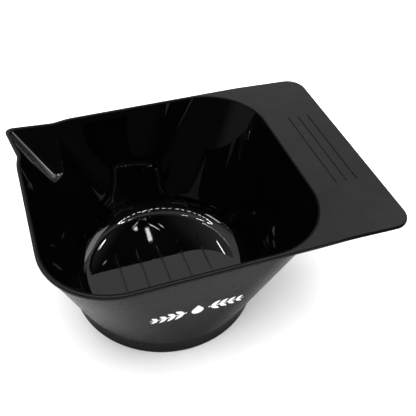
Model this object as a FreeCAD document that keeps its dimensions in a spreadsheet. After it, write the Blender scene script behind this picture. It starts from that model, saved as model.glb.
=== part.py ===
import FreeCAD, Part
import Sketcher
import math
import os

# Hair color (tint) bowl.
# Frame: +Z up, +X towards the handle, +Y away from the printed wall.
# Origin: centre of the round foot, on the plane the bowl stands on.

V = FreeCAD.Vector
doc = FreeCAD.newDocument("TintBowl")


def rebuild():
    """Recompute the document and stop at the first object that failed."""
    doc.recompute()
    for o in doc.Objects:
        if [st for st in o.State if st in ("Invalid", "Error")]:
            raise RuntimeError("%s: %s %s" % (o.Name, o.State, o.getStatusString()))


# ---------------------------------------------------------------- driving dimensions
DIMS = [
    ("rim_height", 74.0, "top face of the rim above the table"),
    ("plate_thick", 1.8, "thickness of the rim lip and of the handle plate"),
    ("open_left", 62.3, "mouth edge on the side away from the handle, from the axis"),
    ("open_right", 66.6, "mouth edge on the handle side, from the axis"),
    ("open_half", 60.75, "half width of the mouth"),
    ("open_radius", 32.2, "corner radius of the mouth"),
    ("lip_width", 2.0, "width of the flat top of the rim"),
    ("wall_offset", 1.3, "outer wall under the lip, outside the mouth edge"),
    ("wall_foot_radius", 50.7, "radius where the walls meet the foot"),
    ("wall_foot_height", 10.8, "height where the walls meet the foot"),
    ("inner_foot_radius", 48.4, "radius where the inner walls meet the well"),
    ("well_radius", 8.7, "radius of the fillet round the floor of the well"),
    ("floor_height", 9.2, "top of the floor above the table"),
    ("floor_thick", 2.2, "thickness of the floor"),
    ("foot_bottom_radius", 49.3, "outer radius of the foot at its lower edge"),
    ("foot_clear", 0.4, "lower edge of the plastic foot above the table"),
    ("skirt_inner", 47.0, "inner radius of the foot skirt round the rubber ring"),
    ("skirt_upper", 45.7, "inner radius of the foot skirt above the rubber ring"),
    ("ring_inner", 44.6, "inner radius of the rubber ring"),
    ("ring_height", 4.0, "height of the rubber ring"),
    ("ring_edge", 0.6, "rounded lower edges of the rubber ring"),
    ("handle_start", 68.0, "where the handle plate leaves the rim"),
    ("handle_end", 103.2, "outer edge of the handle plate"),
    ("handle_drop", 1.4, "fall of the handle plate over its length"),
    ("handle_corner", 9.5, "corner radius of the handle plate"),
    ("grip_first", 80.7, "first grip groove from the axis"),
    ("grip_pitch", 5.7, "spacing of the grip grooves"),
    ("grip_long", 55.0, "length of the grip grooves"),
    ("grip_wide", 0.8, "width of the grip grooves"),
    ("grip_deep", 0.5, "depth of the grip grooves"),
    ("floor_groove_pitch", 12.0, "spacing of the floor grooves"),
    ("floor_groove_long", 31.0, "length of the floor grooves"),
    ("floor_groove_side", 0.7, "middle groove of the floor from the axis, towards the handle"),
    ("floor_groove_back", 1.0, "middle of the floor grooves from the axis, away from the print"),
    ("floor_groove_wide", 0.8, "width of the floor grooves"),
    ("floor_groove_deep", 0.5, "depth of the floor grooves"),
    ("spout_lip_tip", 3.4, "tip radius of the spout lip"),
    ("spout_wall_tip", 2.7, "tip radius of the spout wall under the lip"),
    ("spout_mouth_tip", 3.0, "tip radius of the spout channel at the rim"),
    ("spout_throat", 5.2, "radius of the spout channel where it meets the wall"),
    ("spout_depth", 24.0, "depth of the spout channel below the rim"),
    ("print_thick", 0.12, "thickness of the printed ink"),
    ("print_height", 43.0, "height of the middle of the print above the table"),
]
sheet = doc.addObject("Spreadsheet::Sheet", "dims")
for row, (name, value, note) in enumerate(DIMS, 1):
    sheet.set("A%d" % row, name)
    sheet.set("B%d" % row, str(value))
    sheet.set("C%d" % row, note)
    sheet.setAlias("B%d" % row, name)
rebuild()
D = {name: float(sheet.get(name)) for name, value, note in DIMS}   # the sizes as the sheet holds them


def plane(body, role):
    return [o for o in body.Origin.OriginFeatures if o.Role == role][0]


def new_sketch(body, name, role="XY_Plane", height=None):
    """Sketch on one of the body's own origin planes, lifted along its normal."""
    sk = body.newObject("Sketcher::SketchObject", name)
    sk.AttachmentSupport = (plane(body, role), [""])
    sk.MapMode = "FlatFace"
    if height is not None:
        sk.setExpression("AttachmentOffset.Base.z", height)
    return sk


def cons(sk, *args):
    return sk.addConstraint(Sketcher.Constraint(*args))


def bind(sk, index, expr):
    sk.setExpression("Constraints[%d]" % index, expr)


def offset_x(sk, geo, pos, value, expr):
    """Horizontal distance from the origin, positive to either side."""
    if value >= 0:
        i = cons(sk, "DistanceX", -1, 1, geo, pos, value)
    else:
        i = cons(sk, "DistanceX", geo, pos, -1, 1, -value)
    bind(sk, i, expr)


def offset_y(sk, geo, pos, value, expr):
    if value >= 0:
        i = cons(sk, "DistanceY", -1, 1, geo, pos, value)
    else:
        i = cons(sk, "DistanceY", geo, pos, -1, 1, -value)
    bind(sk, i, expr)


def rounded_rect(sk, left, right, half, radius, e_left, e_right, e_half, e_radius):
    """Closed outline of four lines and four tangent corner arcs."""
    x0, x1, y0, y1, r = -left, right, -half, half, radius
    q = math.pi / 2
    g = []

    def line(a, b):
        g.append(sk.addGeometry(Part.LineSegment(V(*a, 0), V(*b, 0)), False))

    def arc(c, a0):
        g.append(sk.addGeometry(Part.ArcOfCircle(Part.Circle(V(*c, 0), V(0, 0, 1), r), a0, a0 + q), False))

    line((x0 + r, y0), (x1 - r, y0))
    arc((x1 - r, y0 + r), -q)
    line((x1, y0 + r), (x1, y1 - r))
    arc((x1 - r, y1 - r), 0)
    line((x1 - r, y1), (x0 + r, y1))
    arc((x0 + r, y1 - r), q)
    line((x0, y1 - r), (x0, y0 + r))
    arc((x0 + r, y0 + r), 2 * q)
    for k in range(8):
        cons(sk, "Tangent", g[k], 2, g[(k + 1) % 8], 1)
    cons(sk, "Horizontal", g[0])
    cons(sk, "Horizontal", g[4])
    cons(sk, "Vertical", g[2])
    cons(sk, "Vertical", g[6])
    for k in (3, 5, 7):
        cons(sk, "Equal", g[1], g[k])
    bind(sk, cons(sk, "Radius", g[1], r), e_radius)
    offset_x(sk, g[6], 1, x0, e_left)
    offset_x(sk, g[2], 1, x1, e_right)
    offset_y(sk, g[0], 1, y0, e_half)
    offset_y(sk, g[4], 1, y1, e_half)
    return g


def polygon(sk, pts):
    """Closed outline of straight lines, every corner placed from the origin."""
    n = len(pts)
    g = [sk.addGeometry(Part.LineSegment(V(*pts[k], 0), V(*pts[(k + 1) % n], 0)), False) for k in range(n)]
    for k in range(n):
        cons(sk, "Coincident", g[k], 2, g[(k + 1) % n], 1)
    return g


def fixed_points(sk, g, pts, exprs):
    """Bind each start point of the outline to sheet expressions."""
    for k, ((x, y), (ex, ey)) in enumerate(zip(pts, exprs)):
        if ex is not None:
            offset_x(sk, g[k], 1, x, ex)
        if ey is not None:
            offset_y(sk, g[k], 1, y, ey)


def beak(sk, tip, back_dir, left_dir, radius, reach, e_radius):
    """Pointed outline: two straight sides that meet at a rounded tip.

    tip is the sharp point where the sides would meet, back_dir and left_dir run
    from it along the two sides, and reach is how far the sides run.
    """
    bx, by = back_dir
    lx, ly = left_dir
    half = math.acos(bx * lx + by * ly) / 2
    run = radius / math.tan(half)
    bis = V(bx + lx, by + ly, 0).normalize()
    c = V(tip[0], tip[1], 0) + bis * (radius / math.sin(half))
    p_b = V(tip[0] + bx * run, tip[1] + by * run, 0)
    p_l = V(tip[0] + lx * run, tip[1] + ly * run, 0)
    e_b = V(tip[0] + bx * reach, tip[1] + by * reach, 0)
    e_l = V(tip[0] + lx * reach, tip[1] + ly * reach, 0)
    # the arc runs counter-clockwise from the back side to the left side
    a_b = math.atan2(p_b.y - c.y, p_b.x - c.x)
    a_l = math.atan2(p_l.y - c.y, p_l.x - c.x)
    while a_l < a_b:
        a_l += 2 * math.pi
    g0 = sk.addGeometry(Part.LineSegment(e_b, p_b), False)
    g1 = sk.addGeometry(Part.ArcOfCircle(Part.Circle(c, V(0, 0, 1), radius), a_b, a_l), False)
    g2 = sk.addGeometry(Part.LineSegment(p_l, e_l), False)
    g3 = sk.addGeometry(Part.LineSegment(e_l, e_b), False)
    cons(sk, "Tangent", g0, 2, g1, 1)
    cons(sk, "Tangent", g1, 2, g2, 1)
    cons(sk, "Coincident", g2, 2, g3, 1)
    cons(sk, "Coincident", g3, 2, g0, 1)
    # the two far ends are placed from the origin, the sides keep their direction
    for geo, p in ((g0, e_b), (g3, e_l)):
        if geo == g0:
            pos = 1
        else:
            pos = 1
        for axis, val in (("DistanceX", p.x), ("DistanceY", p.y)):
            if val >= 0:
                cons(sk, axis, -1, 1, geo, pos, val)
            else:
                cons(sk, axis, geo, pos, -1, 1, -val)
    bind(sk, cons(sk, "Radius", g1, radius), e_radius)
    cons(sk, "Angle", -1, 1, g2, 1, math.atan2(e_l.y - p_l.y, e_l.x - p_l.x))
    return g0, g1, g2, g3


# ---------------------------------------------------------------- bowl body
body = doc.addObject("PartDesign::Body", "bowl_body")
body.Label = "bowl_body"

# Flat rim plate: rounded on the two corners away from the handle, square-ended where
# the handle plate carries on.
s_rim = new_sketch(body, "rim_outline", height="dims.rim_height - dims.plate_thick")
lo = D["open_left"] + D["lip_width"]
hw = D["open_half"] + D["lip_width"]
rr = D["open_radius"] + D["lip_width"]
hs = D["handle_start"]
q = math.pi / 2
ga = [
    s_rim.addGeometry(Part.LineSegment(V(-lo + rr, -hw, 0), V(hs, -hw, 0)), False),
    s_rim.addGeometry(Part.LineSegment(V(hs, -hw, 0), V(hs, hw, 0)), False),
    s_rim.addGeometry(Part.LineSegment(V(hs, hw, 0), V(-lo + rr, hw, 0)), False),
    s_rim.addGeometry(Part.ArcOfCircle(Part.Circle(V(-lo + rr, hw - rr, 0), V(0, 0, 1), rr), q, 2 * q), False),
    s_rim.addGeometry(Part.LineSegment(V(-lo, hw - rr, 0), V(-lo, -hw + rr, 0)), False),
    s_rim.addGeometry(Part.ArcOfCircle(Part.Circle(V(-lo + rr, -hw + rr, 0), V(0, 0, 1), rr), 2 * q, 3 * q), False),
]
cons(s_rim, "Coincident", ga[0], 2, ga[1], 1)
cons(s_rim, "Coincident", ga[1], 2, ga[2], 1)
cons(s_rim, "Tangent", ga[2], 2, ga[3], 1)
cons(s_rim, "Tangent", ga[3], 2, ga[4], 1)
cons(s_rim, "Tangent", ga[4], 2, ga[5], 1)
cons(s_rim, "Tangent", ga[5], 2, ga[0], 1)
cons(s_rim, "Horizontal", ga[0])
cons(s_rim, "Horizontal", ga[2])
cons(s_rim, "Vertical", ga[1])
cons(s_rim, "Vertical", ga[4])
cons(s_rim, "Equal", ga[3], ga[5])
bind(s_rim, cons(s_rim, "Radius", ga[3], rr), "dims.open_radius + dims.lip_width")
offset_x(s_rim, ga[1], 1, hs, "dims.handle_start")
offset_x(s_rim, ga[4], 1, -lo, "dims.open_left + dims.lip_width")
offset_y(s_rim, ga[1], 1, -hw, "dims.open_half + dims.lip_width")
offset_y(s_rim, ga[1], 2, hw, "dims.open_half + dims.lip_width")
rim = body.newObject("PartDesign::Pad", "rim_plate")
rim.Profile = s_rim
rim.setExpression("Length", "dims.plate_thick")
rebuild()

# Outer walls: a square-to-round surface from the underside of the lip to the foot.
s_wt = new_sketch(body, "wall_top", height="dims.rim_height - dims.plate_thick")
rounded_rect(s_wt, D["open_left"] + D["wall_offset"], D["open_right"] + D["wall_offset"],
             D["open_half"] + D["wall_offset"], D["open_radius"] + D["wall_offset"],
             "dims.open_left + dims.wall_offset", "dims.open_right + dims.wall_offset",
             "dims.open_half + dims.wall_offset", "dims.open_radius + dims.wall_offset")
s_wb = new_sketch(body, "wall_bottom", height="dims.wall_foot_height")
rounded_rect(s_wb, D["wall_foot_radius"], D["wall_foot_radius"], D["wall_foot_radius"],
             D["wall_foot_radius"] - 0.1, "dims.wall_foot_radius", "dims.wall_foot_radius",
             "dims.wall_foot_radius", "dims.wall_foot_radius - 0.1")
walls = body.newObject("PartDesign::AdditiveLoft", "outer_walls")
walls.Profile = s_wb
walls.Sections = [s_wt]
walls.Ruled = True
rebuild()

# Round foot, from its lower edge up to the walls, drawn as half of its section.
s_ft = new_sketch(body, "foot_section", role="XZ_Plane")
pts = [(0, D["foot_clear"]), (D["foot_bottom_radius"], D["foot_clear"]),
       (D["wall_foot_radius"], D["wall_foot_height"]), (0, D["wall_foot_height"])]
gf = polygon(s_ft, pts)
fixed_points(s_ft, gf, pts, [("0", "dims.foot_clear"), ("dims.foot_bottom_radius", "dims.foot_clear"),
                             ("dims.wall_foot_radius", "dims.wall_foot_height"), ("0", "dims.wall_foot_height")])
foot = body.newObject("PartDesign::Revolution", "foot")
foot.Profile = s_ft
foot.ReferenceAxis = (s_ft, ["V_Axis"])
foot.Angle = 360.0
rebuild()

# Spout: the directions of its two lips, and the sharp point where each outline would end.
back = V(22.6, -2.2, 0).normalize()
left = V(2.9, -18.3, 0).normalize()
bis = (back + left).normalize()
half_angle = math.acos(back.dot(left)) / 2
lip_tip = V(-66.77, 63.6, 0)


def tip_inset(gap):
    p = lip_tip + bis * (gap / math.sin(half_angle))
    return (p.x, p.y)


BD, LD = (back.x, back.y), (left.x, left.y)
s_sl = new_sketch(body, "spout_lip_outline", height="dims.rim_height - dims.plate_thick")
beak(s_sl, tip_inset(0), BD, LD, D["spout_lip_tip"], 36.0, "dims.spout_lip_tip")
spout_lip = body.newObject("PartDesign::Pad", "spout_lip")
spout_lip.Profile = s_sl
spout_lip.setExpression("Length", "dims.plate_thick")
rebuild()

# Spout wall: a beak under the lip that runs down and in until it is lost in the corner.
throat = V(-42.4, 41.84, 0)          # centre of the channel's round bottom where it meets the wall
rt_in = D["spout_throat"]


def throat_tip(gap):
    """Sharp tip of the outline whose rounded end is gap outside the channel's."""
    p = throat - bis * ((rt_in + gap) / math.sin(half_angle))
    return (p.x, p.y)


s_st = new_sketch(body, "spout_wall_top", height="dims.rim_height - dims.plate_thick")
beak(s_st, tip_inset(0.9), BD, LD, D["spout_wall_tip"], 34.0, "dims.spout_wall_tip")
s_sb = new_sketch(body, "spout_wall_bottom", height="dims.rim_height - dims.spout_depth - 3")
beak(s_sb, throat_tip(-0.6), BD, LD, rt_in - 0.6, 22.0, "dims.spout_throat - 0.6")
spout = body.newObject("PartDesign::AdditiveLoft", "spout_wall")
spout.Profile = s_sb
spout.Sections = [s_st]
spout.Ruled = True
rebuild()
v_solid = body.Shape.Volume

# Handle plate: drawn as its long thin side section, which falls a little towards its outer edge.
s_h = new_sketch(body, "handle_section", role="XZ_Plane")
zt, pt = D["rim_height"], D["plate_thick"]
pts = [(hs, zt - pt), (D["handle_end"], zt - D["handle_drop"] - pt), (D["handle_end"], zt - D["handle_drop"]), (hs, zt)]
gh = polygon(s_h, pts)
fixed_points(s_h, gh, pts, [
    ("dims.handle_start", "dims.rim_height - dims.plate_thick"),
    ("dims.handle_end", "dims.rim_height - dims.handle_drop - dims.plate_thick"),
    ("dims.handle_end", "dims.rim_height - dims.handle_drop"),
    ("dims.handle_start", "dims.rim_height")])
handle = body.newObject("PartDesign::Pad", "handle_plate")
handle.Profile = s_h
handle.setExpression("Length", "2 * (dims.open_half + dims.lip_width)")
handle.Midplane = True
rebuild()

# Rounded outer corners of the handle plate.
corner_edges = []
for i, e in enumerate(handle.Shape.Edges, 1):
    a, b = e.Vertexes[0].Point, e.Vertexes[-1].Point
    if len(e.Vertexes) == 2 and abs(a.x - D["handle_end"]) < 0.01 and abs(b.x - D["handle_end"]) < 0.01 \
            and abs(a.y - b.y) < 0.01:
        corner_edges.append("Edge%d" % i)
assert len(corner_edges) == 2, corner_edges
corners = body.newObject("PartDesign::Fillet", "handle_corners")
corners.Base = (handle, corner_edges)
corners.setExpression("Radius", "dims.handle_corner")
rebuild()

# Inner walls, cut away from the mouth down to the well.
s_mt = new_sketch(body, "mouth", height="dims.rim_height")
rounded_rect(s_mt, D["open_left"], D["open_right"], D["open_half"], D["open_radius"],
             "dims.open_left", "dims.open_right", "dims.open_half", "dims.open_radius")
s_mb = new_sketch(body, "well_top", height="dims.floor_height + dims.well_radius")
rounded_rect(s_mb, D["inner_foot_radius"], D["inner_foot_radius"], D["inner_foot_radius"],
             D["inner_foot_radius"] - 0.1, "dims.inner_foot_radius", "dims.inner_foot_radius",
             "dims.inner_foot_radius", "dims.inner_foot_radius - 0.1")
hollow = body.newObject("PartDesign::SubtractiveLoft", "inner_walls")
hollow.Profile = s_mb
hollow.Sections = [s_mt]
hollow.Ruled = True
rebuild()

# Well: flat floor with a rounded step up to the walls, drawn as half of its section.
s_w = new_sketch(body, "well_section", role="XZ_Plane")
zf, ri, wr = D["floor_height"], D["inner_foot_radius"], D["well_radius"]
w0 = s_w.addGeometry(Part.LineSegment(V(0, zf, 0), V(ri - wr, zf, 0)), False)
w1 = s_w.addGeometry(Part.ArcOfCircle(Part.Circle(V(ri - wr, zf + wr, 0), V(0, 0, 1), wr), -q, 0), False)
w2 = s_w.addGeometry(Part.LineSegment(V(ri, zf + wr, 0), V(0, zf + wr, 0)), False)
w3 = s_w.addGeometry(Part.LineSegment(V(0, zf + wr, 0), V(0, zf, 0)), False)
cons(s_w, "Tangent", w0, 2, w1, 1)
cons(s_w, "Coincident", w1, 2, w2, 1)
cons(s_w, "Coincident", w2, 2, w3, 1)
cons(s_w, "Coincident", w3, 2, w0, 1)
cons(s_w, "Horizontal", w0)
cons(s_w, "Horizontal", w2)
cons(s_w, "Vertical", w3)
cons(s_w, "PointOnObject", w0, 1, -2)
bind(s_w, cons(s_w, "Radius", w1, wr), "dims.well_radius")
offset_x(s_w, w1, 2, ri, "dims.inner_foot_radius")
offset_y(s_w, w0, 1, zf, "dims.floor_height")
offset_y(s_w, w1, 2, zf + wr, "dims.floor_height + dims.well_radius")
well = body.newObject("PartDesign::Groove", "well")
well.Profile = s_w
well.ReferenceAxis = (s_w, ["V_Axis"])
well.Angle = 360.0
rebuild()

# Spout channel, cut from above the rim down to where it opens through the corner.
s_ct = new_sketch(body, "channel_top", height="dims.rim_height")
beak(s_ct, tip_inset(D["lip_width"]), BD, LD, D["spout_mouth_tip"], 31.0, "dims.spout_mouth_tip")
s_cb = new_sketch(body, "channel_bottom", height="dims.rim_height - dims.spout_depth")
beak(s_cb, throat_tip(0), BD, LD, rt_in, 20.0, "dims.spout_throat")
channel = body.newObject("PartDesign::SubtractiveLoft", "spout_channel")
channel.Profile = s_cb
channel.Sections = [s_ct]
channel.Ruled = True
rebuild()

# Recess under the floor, and the seat of the rubber ring inside the foot skirt.
s_u = new_sketch(body, "recess_section", role="XZ_Plane")
zu = D["floor_height"] - D["floor_thick"]
pts = [(0, -1.0), (D["skirt_inner"], -1.0), (D["skirt_inner"], D["ring_height"]), (D["skirt_upper"], D["ring_height"]),
       (D["skirt_upper"], zu + 1.6), (D["skirt_upper"] - 3.2, zu), (0, zu)]
gu = polygon(s_u, pts)
fixed_points(s_u, gu, pts, [
    ("0", "1"), ("dims.skirt_inner", "1"), ("dims.skirt_inner", "dims.ring_height"),
    ("dims.skirt_upper", "dims.ring_height"), ("dims.skirt_upper", "dims.floor_height - dims.floor_thick + 1.6"),
    ("dims.skirt_upper - 3.2", "dims.floor_height - dims.floor_thick"),
    ("0", "dims.floor_height - dims.floor_thick")])
recess = body.newObject("PartDesign::Groove", "underside_recess")
recess.Profile = s_u
recess.ReferenceAxis = (s_u, ["V_Axis"])
recess.Angle = 360.0
rebuild()
v_before = body.Shape.Volume

# Five grooves across the floor.
s_g = new_sketch(body, "floor_groove", height="dims.floor_height")
gw, gl = D["floor_groove_wide"] / 2, D["floor_groove_long"] / 2
first = D["floor_groove_side"] - 2 * D["floor_groove_pitch"]
yb = D["floor_groove_back"]
pts = [(first - gw, yb - gl), (first + gw, yb - gl), (first + gw, yb + gl), (first - gw, yb + gl)]
gg = polygon(s_g, pts)
ex = "2 * dims.floor_groove_pitch - dims.floor_groove_side"
far, near = "dims.floor_groove_long / 2 + dims.floor_groove_back", "dims.floor_groove_long / 2 - dims.floor_groove_back"
fixed_points(s_g, gg, pts, [
    (ex + " + dims.floor_groove_wide / 2", near), (ex + " - dims.floor_groove_wide / 2", near),
    (ex + " - dims.floor_groove_wide / 2", far), (ex + " + dims.floor_groove_wide / 2", far)])
groove = body.newObject("PartDesign::Pocket", "floor_groove_cut")
groove.Profile = s_g
groove.setExpression("Length", "dims.floor_groove_deep")
rebuild()
grooves = body.newObject("PartDesign::LinearPattern", "floor_grooves")
grooves.Originals = [groove]
grooves.Direction = (plane(body, "X_Axis"), [""])
grooves.Occurrences = 5
grooves.setExpression("Length", "4 * dims.floor_groove_pitch")
body.Tip = grooves
rebuild()
v_floor = body.Shape.Volume

# Three grip grooves along the handle plate, each drawn as its little section.
s_k = new_sketch(body, "grip_sections", role="XZ_Plane")
slope = D["handle_drop"] / (D["handle_end"] - D["handle_start"])
for k in range(3):
    xc = D["grip_first"] + k * D["grip_pitch"]
    w = D["grip_wide"] / 2
    za = zt - (xc - w - hs) * slope
    zb = zt - (xc + w - hs) * slope
    zc = zt - (xc - hs) * slope - D["grip_deep"]
    pts = [(xc - w, za + 0.3), (xc - 0.6 * w, zc), (xc + 0.6 * w, zc), (xc + w, zb + 0.3)]
    gk = polygon(s_k, pts)
    ex = "dims.grip_first + %d * dims.grip_pitch" % k
    fall = "(%s - dims.handle_start) * dims.handle_drop / (dims.handle_end - dims.handle_start)" % ex
    top = "dims.rim_height - %s + 0.3" % fall
    low = "dims.rim_height - %s - dims.grip_deep" % fall
    fixed_points(s_k, gk, pts, [
        (ex + " - dims.grip_wide / 2", top), (ex + " - 0.3 * dims.grip_wide", low),
        (ex + " + 0.3 * dims.grip_wide", low), (ex + " + dims.grip_wide / 2", top)])
grips = body.newObject("PartDesign::Pocket", "grip_grooves")
grips.Profile = s_k
grips.setExpression("Length", "dims.grip_long")
grips.Midplane = True
rebuild()
v_grip = body.Shape.Volume
print("volumes: solid %.0f, hollow %.0f, floor grooves -%.1f, grip grooves -%.1f"
      % (v_solid, v_before, v_before - v_floor, v_floor - v_grip))
assert v_before < 0.35 * v_solid
assert v_before - v_floor > 40 and v_floor - v_grip > 30

# ---------------------------------------------------------------- rubber ring
ring = doc.addObject("PartDesign::Body", "non_slip_ring")
ring.Label = "non_slip_ring"
s_r = new_sketch(ring, "ring_section", role="XZ_Plane")
ri0, ro0, hr = D["ring_inner"], D["skirt_inner"], D["ring_height"]
pts = [(ri0, 0.0), (ro0, 0.0), (ro0, hr), (ri0, hr)]
gr = polygon(s_r, pts)
fixed_points(s_r, gr, pts, [("dims.ring_inner", None), ("dims.skirt_inner", None),
                            ("dims.skirt_inner", "dims.ring_height"), ("dims.ring_inner", "dims.ring_height")])
cons(s_r, "PointOnObject", gr[0], 1, -1)
cons(s_r, "PointOnObject", gr[0], 2, -1)
ring_rev = ring.newObject("PartDesign::Revolution", "ring_turn")
ring_rev.Profile = s_r
ring_rev.ReferenceAxis = (s_r, ["V_Axis"])
ring_rev.Angle = 360.0
rebuild()
low_edges = []
for i, e in enumerate(ring_rev.Shape.Edges, 1):
    if e.Curve.TypeId == "Part::GeomCircle" and abs(e.Curve.Center.z) < 0.001:
        low_edges.append("Edge%d" % i)
ring_edge = ring.newObject("PartDesign::Fillet", "ring_edges")
ring_edge.Base = (ring_rev, low_edges)
ring_edge.setExpression("Radius", "dims.ring_edge")
rebuild()

# ---------------------------------------------------------------- printed ornament
# A thin layer of ink that follows the front wall: a leaf sprig, a droplet and a second sprig.


def wall_solid(extra):
    """The outer walls as a plain solid, moved outwards by extra."""
    def outline(l, r, hh, rad, z):
        x0, x1, y0, y1 = -l, r, -hh, hh
        k = rad * (1 - math.sqrt(0.5))
        e = [Part.makeLine(V(x0 + rad, y0, z), V(x1 - rad, y0, z)),
             Part.Arc(V(x1 - rad, y0, z), V(x1 - k, y0 + k, z), V(x1, y0 + rad, z)).toShape(),
             Part.makeLine(V(x1, y0 + rad, z), V(x1, y1 - rad, z)),
             Part.Arc(V(x1, y1 - rad, z), V(x1 - k, y1 - k, z), V(x1 - rad, y1, z)).toShape(),
             Part.makeLine(V(x1 - rad, y1, z), V(x0 + rad, y1, z)),
             Part.Arc(V(x0 + rad, y1, z), V(x0 + k, y1 - k, z), V(x0, y1 - rad, z)).toShape(),
             Part.makeLine(V(x0, y1 - rad, z), V(x0, y0 + rad, z)),
             Part.Arc(V(x0, y0 + rad, z), V(x0 + k, y0 + k, z), V(x0 + rad, y0, z)).toShape()]
        return Part.Wire(e)
    off = D["wall_offset"] + extra
    top = outline(D["open_left"] + off, D["open_right"] + off, D["open_half"] + off, D["open_radius"] + off,
                  D["rim_height"] - D["plate_thick"])
    rb = D["wall_foot_radius"] + extra
    bottom = outline(rb, rb, rb, rb - 0.1, D["wall_foot_height"])
    return Part.makeLoft([bottom, top], True, True)


def face_of(points):
    """Flat face in the XZ plane from a closed list of (x, z) points."""
    vs = [V(x, -80.0, z) for x, z in points]
    return Part.Face(Part.makePolygon(vs + [vs[0]]))


def leaf(x, z, length, width, angle, n=7):
    """Pointed leaf: two arcs that meet at both ends."""
    pts = []
    for k in range(n + 1):
        u = k / n
        pts.append((u * length, width / 2 * math.sin(math.pi * u) ** 0.9 if 0 < u < 1 else 0.0))
    low = [(a, -b) for a, b in reversed(pts[1:-1])]
    ca, sa = math.cos(math.radians(angle)), math.sin(math.radians(angle))
    return [(x + a * ca - b * sa, z + a * sa + b * ca) for a, b in pts + low]


def droplet(x, z, size, n=14):
    """Round drop with a point at its top."""
    pts = [(x, z + size * 1.35)]
    for k in range(n + 1):
        a = math.radians(35 - k * 250 / n)
        pts.append((x + size * math.cos(a) * 0.8, z + size * math.sin(a) * 0.8))
    return pts


zc = D["print_height"]
motif = [droplet(0.0, zc - 0.5, 3.6)]
for side in (-1, 1):
    stem_in, stem_out = 5.2 * side, 22.6 * side
    motif.append([(stem_in, zc - 0.35), (stem_out, zc - 0.14), (stem_out, zc + 0.14), (stem_in, zc + 0.35)])
    for k in range(4):
        xs = side * (6.6 + 4.1 * k)
        size = 5.6 - 0.55 * k
        for up in (1, -1):
            ang = up * 42 if side > 0 else 180 - up * 42
            motif.append(leaf(xs, zc + up * 0.15, size, 2.2 - 0.15 * k, ang))
outer, inner = wall_solid(D["print_thick"]), wall_solid(0.0)
pieces = []
for m in motif:
    prism = face_of(m).extrude(V(0, 36.0, 0))
    film = prism.common(outer).cut(inner)
    pieces.extend(f for f in film.Solids if f.Volume > 0.005)
ink_shape = pieces[0].multiFuse(pieces[1:])
ink_shape = Part.Compound(ink_shape.Solids)
ink = doc.addObject("Part::Feature", "printed_mark")
ink.Label = "printed_mark"
ink.Shape = ink_shape
ink.Placement = FreeCAD.Placement()
rebuild()

# ---------------------------------------------------------------- checks and export
for o in doc.Objects:
    bad = [s for s in o.State if s in ("Invalid", "Error")]
    if bad:
        raise RuntimeError("%s: %s" % (o.Name, o.State))
os.makedirs("parts", exist_ok=True)
for o in (body, ring, ink):
    s = o.Shape
    if s.isNull() or not s.isValid():
        raise RuntimeError("%s has a bad shape" % o.Label)
    print("%-14s solids %d  volume %.1f mm3  box %s" % (o.Label, len(s.Solids), s.Volume, [round(c, 2) for c in (
        s.BoundBox.XMin, s.BoundBox.XMax, s.BoundBox.YMin, s.BoundBox.YMax, s.BoundBox.ZMin, s.BoundBox.ZMax)]))
    s.exportStep("parts/%s.step" % o.Label)
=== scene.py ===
import math

import bpy
import numpy as np
from mathutils import Matrix, Vector
from mathutils.geometry import delaunay_2d_cdt


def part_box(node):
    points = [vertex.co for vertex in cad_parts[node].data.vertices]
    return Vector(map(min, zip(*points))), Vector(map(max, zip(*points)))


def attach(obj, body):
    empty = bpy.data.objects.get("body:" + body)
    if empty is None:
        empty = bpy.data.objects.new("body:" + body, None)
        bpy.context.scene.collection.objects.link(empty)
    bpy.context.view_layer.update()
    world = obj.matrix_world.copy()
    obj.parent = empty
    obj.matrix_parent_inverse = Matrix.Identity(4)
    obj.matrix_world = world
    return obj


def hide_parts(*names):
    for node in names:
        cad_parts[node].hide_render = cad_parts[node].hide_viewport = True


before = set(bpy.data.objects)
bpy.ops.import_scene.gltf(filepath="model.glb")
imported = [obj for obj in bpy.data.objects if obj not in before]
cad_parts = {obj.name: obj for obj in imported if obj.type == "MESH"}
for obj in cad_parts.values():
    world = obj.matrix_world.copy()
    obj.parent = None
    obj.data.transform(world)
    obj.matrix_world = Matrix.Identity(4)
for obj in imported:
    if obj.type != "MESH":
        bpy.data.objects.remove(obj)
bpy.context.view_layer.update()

# Hair color bowl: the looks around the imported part. Lengths are worked out in millimetres and
# handed to Blender in metres. +Z up, +X towards the handle, +Y away from the printed wall.

MM = 0.001
_lo, _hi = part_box("bowl_body")
H = _hi.z / MM                 # top of the rim
XE = _hi.x / MM                # outer edge of the handle plate
HW = -_lo.y / MM               # half width of the rim and the handle plate
FOOT_Z = _lo.z / MM            # lower edge of the plastic foot
PLATE = 1.8                    # thickness of the lip and the handle plate
LIP = 2.0                      # width of the flat top of the rim
OPEN_L, OPEN_R, OPEN_H, OPEN_C = 62.3, 66.6, HW - LIP, 32.2
WALL_OFF = 1.3
FOOT_R, FOOT_H = 50.7, 10.8
WELL_R, WELL_C, FLOOR_Z = 48.4, 8.7, 9.2
HANDLE_X, HANDLE_DROP, HANDLE_C = 68.0, 1.4, 9.5
SPOUT_DEPTH, THROAT_C = 24.0, 5.2


# ------------------------------------------------------------------ outlines seen from above
def unit(x, y):
    v = np.array([x, y], float)
    return v / np.hypot(*v)


BACK, LEFT = unit(22.6, -2.2), unit(2.9, -18.3)      # the two lips of the spout, from its tip
BIS = unit(*(BACK + LEFT))
HALF = math.acos(float(BACK @ LEFT)) / 2
TIP = np.array([-66.77, 63.6])
THROAT = np.array([-42.4, 41.84])


def tip_inset(gap):
    return TIP + BIS * (gap / math.sin(HALF))


def throat_tip(gap):
    return THROAT - BIS * ((THROAT_C + gap) / math.sin(HALF))


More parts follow.
